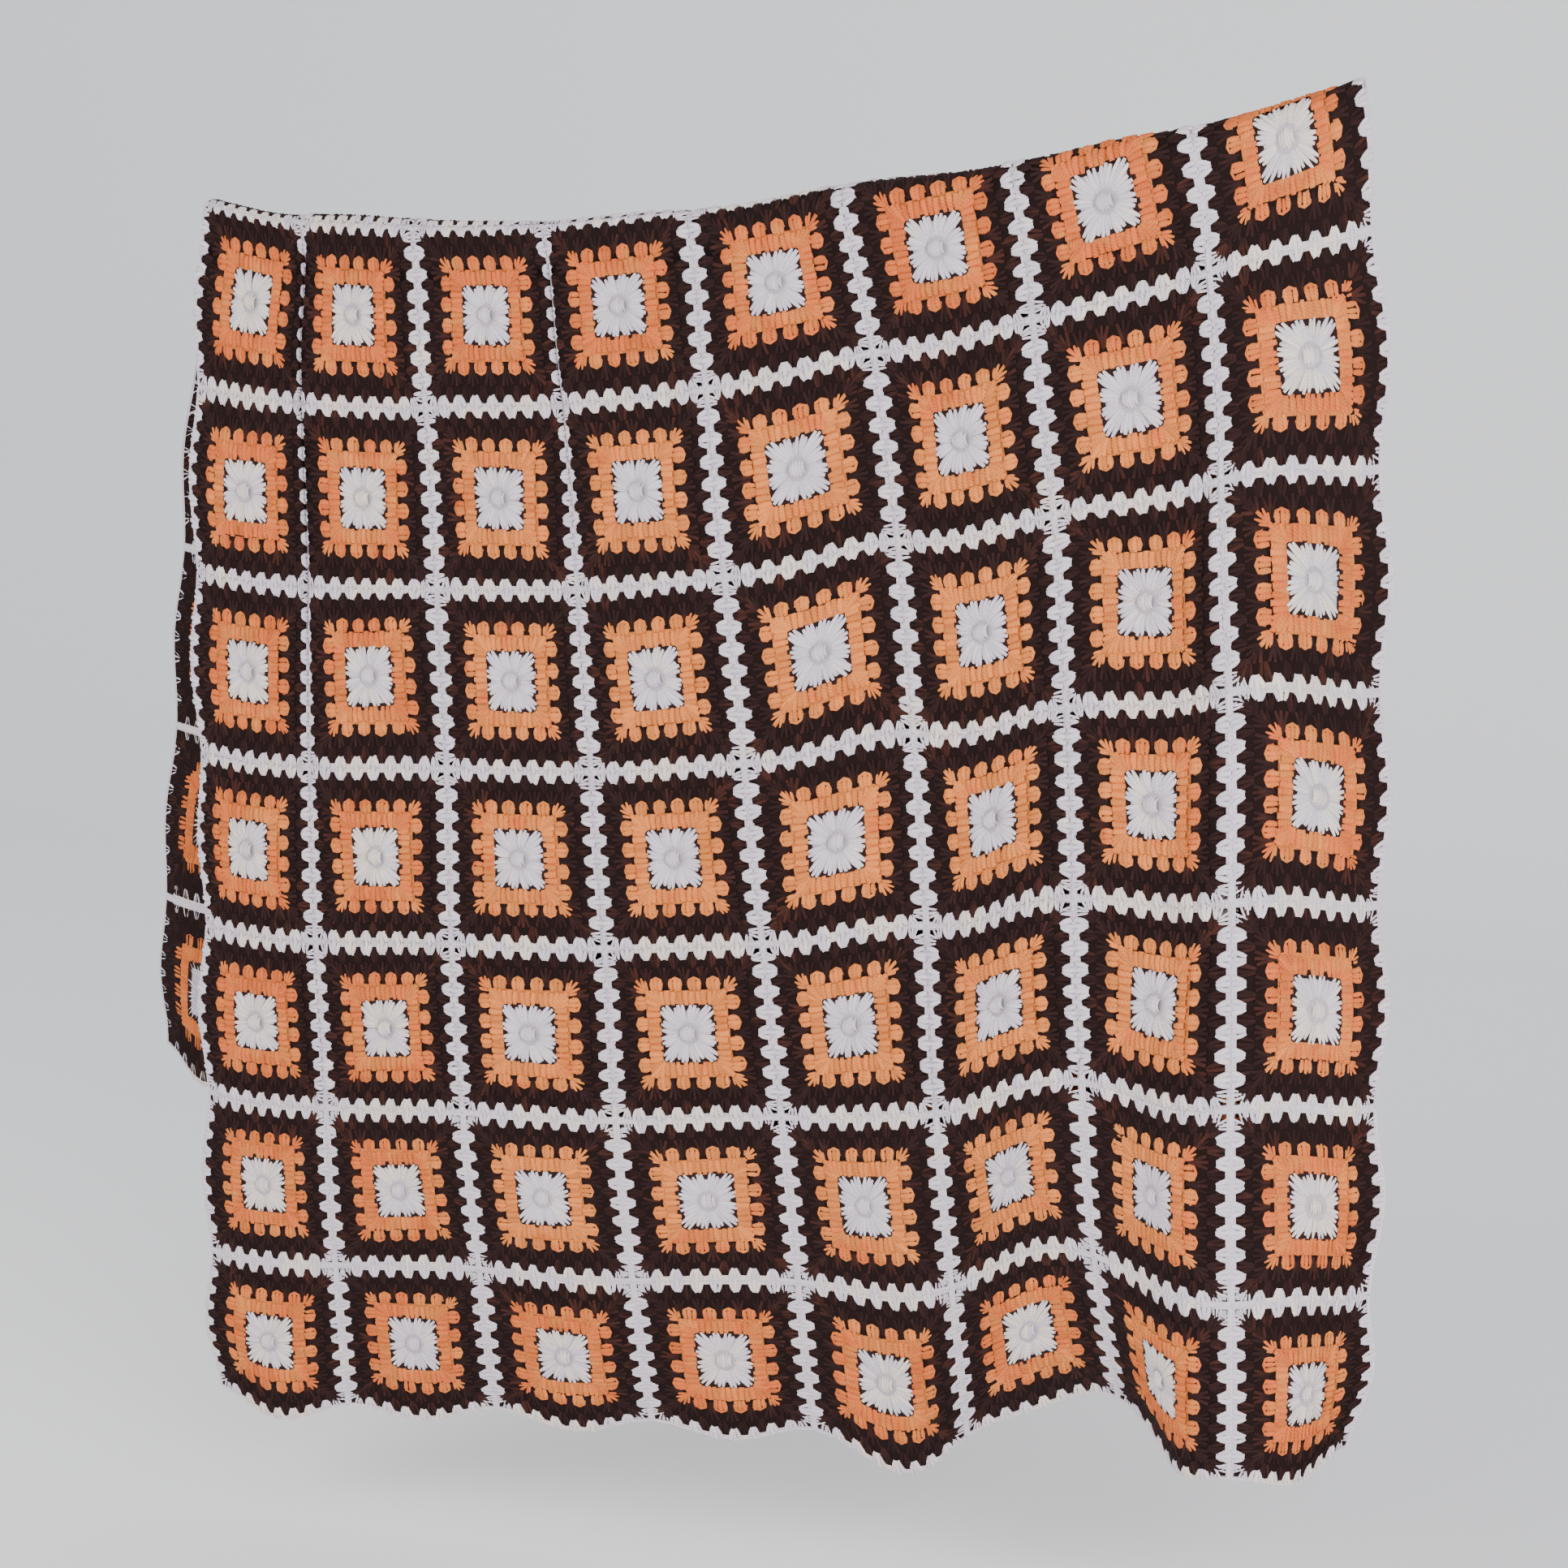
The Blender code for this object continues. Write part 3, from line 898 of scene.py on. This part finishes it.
def painted_ground_shade():
    """The backs of the stitches as painted shade: each round's yarn colour darkened, as it shows deep between
    the stitches.
    """
    colours = bpy.context.scene.blanket_colours
    finish = Finish("stitch backs")
    beside, above = finish.flat_place()[2:]
    fuzz = finish.noise(*BACK_FUZZ)
    radius = beside.at_least(above) * (SQUARE / MM) + (fuzz - 0.5) * 2.0
    yarn_name, share = CENTRE_SHADE
    colour = opaque(getattr(colours, yarn_name), share)
    for border, yarn_name, share in ROUND_SHADES:
        edge = finish.smooth(radius, border - SHADE_BLUR, border + SHADE_BLUR)
        colour = finish.mix(edge, colour, opaque(getattr(colours, yarn_name), share))
    return finish.surface({
        "Base Color": colour, "Roughness": 0.8 + fuzz * 0.15, "Normal": finish.relief(fuzz, 0.6, 1.0 * MM),
        "Specular IOR Level": 0.1})


def stage_finish():
    """Plain, pale and matt."""
    pale = bpy.context.scene.blanket_colours.stage
    finish = Finish("stage")
    colour = finish.mix(finish.noise(*MOTTLE), opaque(pale), opaque(pale, 0.985))
    return finish.surface({"Base Color": colour, "Roughness": 0.9})


# ======== the pieces
PIECES = {}


def keep(piece):
    """Lets a yarn piece ride on the cloth's body and keeps it among the pieces."""
    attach(piece, BODY)
    PIECES[piece.name] = piece


def shows_both_faces(column, row):
    """True at the front hem, at the right edge, and at the left edge of the rear flap."""
    return row < BOTH_FACES_ROWS or column == ACROSS - 1 or (row >= FRONT_ROWS and column == 0)


def new_strands(rows=range(ALONG)):
    """Strands for the squares of some rows."""
    squares = [(column, row, shows_both_faces(column, row)) for row in rows for column in range(ACROSS)]
    return Strands(np.array(squares, dtype=float), bpy.context.scene.blanket_sizes.plump)


def ground_lines(count):
    """Lines of the ground's grid over so many squares, with both sides of each gap."""
    inner = (GAP_AT - GAP_SIZE / 2, GAP_AT + GAP_SIZE / 2) + GRID_LINES
    lines = (0.0,) + inner + (0.5,) + tuple(1.0 - line for line in reversed(inner))
    places = [square + line for square in range(count) for line in lines] + [count]
    places[0], places[-1] = RIM, count - RIM
    return places


class BLANKET_OT_ground(bpy.types.Operator):
    """Lays the thin cloth that the stitches are worked on, with the gaps at the corners of the squares"""

    bl_idname = "blanket.ground"
    bl_label = "Lay the ground"

    def execute(self, context):
        columns = ground_lines(ACROSS)
        rows = sorted(ground_lines(ALONG) + list(FOLD_LINES))
        mesh = bmesh.new()
        bmesh.ops.create_grid(mesh, x_segments=len(columns) - 1, y_segments=len(rows) - 1, size=0.5)
        for vertex in mesh.verts:
            column = round((vertex.co.x + 0.5) * (len(columns) - 1))
            row = round((vertex.co.y + 0.5) * (len(rows) - 1))
            vertex.co = (columns[column], rows[row], 0.0)
        gaps = [face for face in mesh.faces if self.is_gap(face.calc_center_median())]
        bmesh.ops.delete(mesh, geom=gaps, context="FACES")
        data = smooth_mesh("blanket-ground", mesh)
        flat = np.empty(len(data.vertices) * 3)
        data.vertices.foreach_get("co", flat)
        flat = flat.reshape(-1, 3)[:, :2]
        points = drape.place(flat[:, 0], flat[:, 1], np.zeros(len(flat)))
        data.vertices.foreach_set("co", points.ravel())
        add_flat_map(data, flat)
        # The ground's colour is painted shade between the stitches.
        data.materials.append(painted_ground_shade())
        ground = add_object("blanket-ground", data)
        body = ground.modifiers.new("cloth thickness", "SOLIDIFY")
        body.thickness = context.scene.blanket_sizes.ground
        body.offset = 0.0
        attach(ground, BODY)
        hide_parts(CLOTH_NODE)
        PIECES["ground"] = ground
        return {"FINISHED"}

    @staticmethod
    def is_gap(centre):
        """True for a cell that is a gap. The free edges and the fold have none."""
        near = all(abs(abs(at - round(at)) - GAP_AT) < GAP_SIZE / 2 for at in (centre.x, centre.y))
        return near and 0 < round(centre.x) < ACROSS and round(centre.y) not in (0, FRONT_ROWS, ALONG)


class BLANKET_OT_centres(bpy.types.Operator):
    """Works the pale centre of each square: a knob with twelve petals round it"""

    bl_idname = "blanket.centres"
    bl_label = "Work the centres"

    def execute(self, context):
        colours = context.scene.blanket_colours
        strands = new_strands()
        strands.lay(centre_petals(), PETAL_THICK, PETAL_WIDTHS)
        strands.lay(between_petals(), BETWEEN_THICK, BETWEEN_WIDTHS)
        strands.lay(knob_strands(), KNOB_THICK, KNOB_WIDTHS, rise=1.0, wobble=STEADY)
        # The cream patches on the pale yarn are painted warm light.
        material = yarn("pale yarn", colours.pale, colours.cream, share=0.0, ply_shade=0.78, soft=0.35,
                        places=cream_light_places, push=0.16)
        keep(strands.make("centres", material))
        return {"FINISHED"}


class BLANKET_OT_orange_rounds(bpy.types.Operator):
    """Works the two orange rounds: a close band, and clusters that end in round lobes"""

    bl_idname = "blanket.orange_rounds"
    bl_label = "Work the orange rounds"

    def execute(self, context):
        colours = context.scene.blanket_colours
        # On the rows near the fold the rust is painted shade.
        material = yarn("orange yarn", colours.orange, colours.rust, share=0.02, ply_shade=0.62, soft=0.2,
                        places=rust_and_fold_shade_places, push=0.16)
        inner = new_strands()
        inner.lay_round("orange_inner")
        keep(inner.make("orange-band", material))
        outer = new_strands()
        outer.lay_round("orange_outer")
        outer.lay(arcs_over_lobes(), LOBE_THICK, LOBE_WIDTHS)
        keep(outer.make("orange-lobes", material))
        return {"FINISHED"}


class BLANKET_OT_dark_rounds(bpy.types.Operator):
    """Works the two dark brown rounds"""

    bl_idname = "blanket.dark_rounds"
    bl_label = "Work the dark rounds"

    def execute(self, context):
        colours = context.scene.blanket_colours
        material = yarn("dark yarn", colours.dark, colours.dark_red, share=0.06, ply_shade=0.6, soft=0.15)
        for name in ("dark_inner", "dark_outer"):
            strands = new_strands()
            strands.lay_round(name)
            keep(strands.make(name.replace("_", "-"), material))
        return {"FINISHED"}


class BLANKET_OT_edging(bpy.types.Operator):
    """Works the pale edging of each square, which joins it to its neighbours"""

    bl_idname = "blanket.edging"
    bl_label = "Work the edging"

    def execute(self, context):
        material = bpy.data.materials["pale yarn"]
        chains, loops = edge_chains()
        for flap, rows in (("front", range(FRONT_ROWS)), ("rear", range(FRONT_ROWS, ALONG))):
            strands = new_strands(rows)
            strands.lay_round("edging")
            strands.lay(chains, CHAIN_THICK, wobble=STEADY)
            strands.lay(loops, LOOP_THICK, wobble=STEADY)
            keep(strands.make("edging-" + flap, material))
        return {"FINISHED"}


class BLANKET_OT_stage(bpy.types.Operator):
    """Sets the floor and backdrop, the soft light and the camera"""

    bl_idname = "blanket.stage"
    bl_label = "Set the stage"

    def execute(self, context):
        floor = CAD_LOW[2] - FLOOR_DROP
        profile = [(FLOOR_FRONT, floor)]
        for angle in np.linspace(0.0, math.pi / 2, 10):
            rise = FLOOR_BEND - FLOOR_BEND * math.cos(angle)
            profile.append((FLOOR_BACK + FLOOR_BEND * math.sin(angle), floor + rise))
        profile.append((FLOOR_BACK + FLOOR_BEND, STAGE_TOP))
        mesh = bmesh.new()
        sides = [[mesh.verts.new((x, y, z)) for y, z in profile] for x in (-STAGE_HALF, STAGE_HALF)]
        for i in range(len(profile) - 1):
            mesh.faces.new((sides[0][i], sides[1][i], sides[1][i + 1], sides[0][i + 1]))
        data = smooth_mesh("stage", mesh)
        data.materials.append(stage_finish())
        backdrop = add_object("stage", data)
        backdrop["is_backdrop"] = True

        for light in LIGHTS:
            self.add_light(*light)
        world = bpy.data.worlds.new("soft sky")
        world.use_nodes = True
        world.node_tree.nodes["Background"].inputs["Color"].default_value = opaque(SKY)
        context.scene.world = world

        lens = bpy.data.cameras.new("camera")
        lens.lens = LENS
        lens.clip_end = 50.0
        camera = add_object("camera", lens)
        camera.location = CAMERA_PLACE
        camera.rotation_euler = (math.radians(90.0 - CAMERA_DOWN), 0.0, math.radians(CAMERA_TURN))
        context.scene.camera = camera
        return {"FINISHED"}

    @staticmethod
    def add_light(name, place, size, power, colour):
        """Adds a round area light that is aimed at the blanket."""
        data = bpy.data.lights.new(name, "AREA")
        data.shape = "DISK"
        data.size = size
        data.energy = power
        data.color = colour
        light = add_object(name, data)
        light.location = place
        x, y, z = np.array(LIT_PLACE) - np.array(place)
        light.rotation_euler = (math.atan2(math.hypot(x, y), -z), 0.0, math.atan2(y, x) - math.pi / 2)


OPERATORS = (BLANKET_OT_ground, BLANKET_OT_centres, BLANKET_OT_orange_rounds, BLANKET_OT_dark_rounds,
             BLANKET_OT_edging, BLANKET_OT_stage)


class BLANKET_PT_sidebar(bpy.types.Panel):
    """Lists the steps and the settings"""

    bl_idname = "BLANKET_PT_sidebar"
    bl_label = "Granny square blanket"
    bl_space_type = "VIEW_3D"
    bl_region_type = "UI"
    bl_category = "Blanket"

    def draw(self, context):
        for group in (context.scene.blanket_sizes, context.scene.blanket_colours):
            for name in group.__annotations__:
                self.layout.prop(group, name)
        for operator in OPERATORS:
            self.layout.operator(operator.bl_idname)


CLASSES = (BlanketSizes, BlanketColours) + OPERATORS + (BLANKET_PT_sidebar,)


def register():
    for cls in CLASSES:
        bpy.utils.register_class(cls)
    bpy.types.Scene.blanket_sizes = bpy.props.PointerProperty(type=BlanketSizes)
    bpy.types.Scene.blanket_colours = bpy.props.PointerProperty(type=BlanketColours)


def unregister():
    del bpy.types.Scene.blanket_colours
    del bpy.types.Scene.blanket_sizes
    for cls in reversed(CLASSES):
        bpy.utils.unregister_class(cls)


def main():
    """Makes the blanket and its stage."""
    register()
    bpy.ops.blanket.ground()
    bpy.ops.blanket.centres()
    bpy.ops.blanket.orange_rounds()
    bpy.ops.blanket.dark_rounds()
    bpy.ops.blanket.edging()
    bpy.ops.blanket.stage()
    ground = PIECES.pop("ground")
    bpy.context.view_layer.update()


if __name__ == "__main__":
    main()
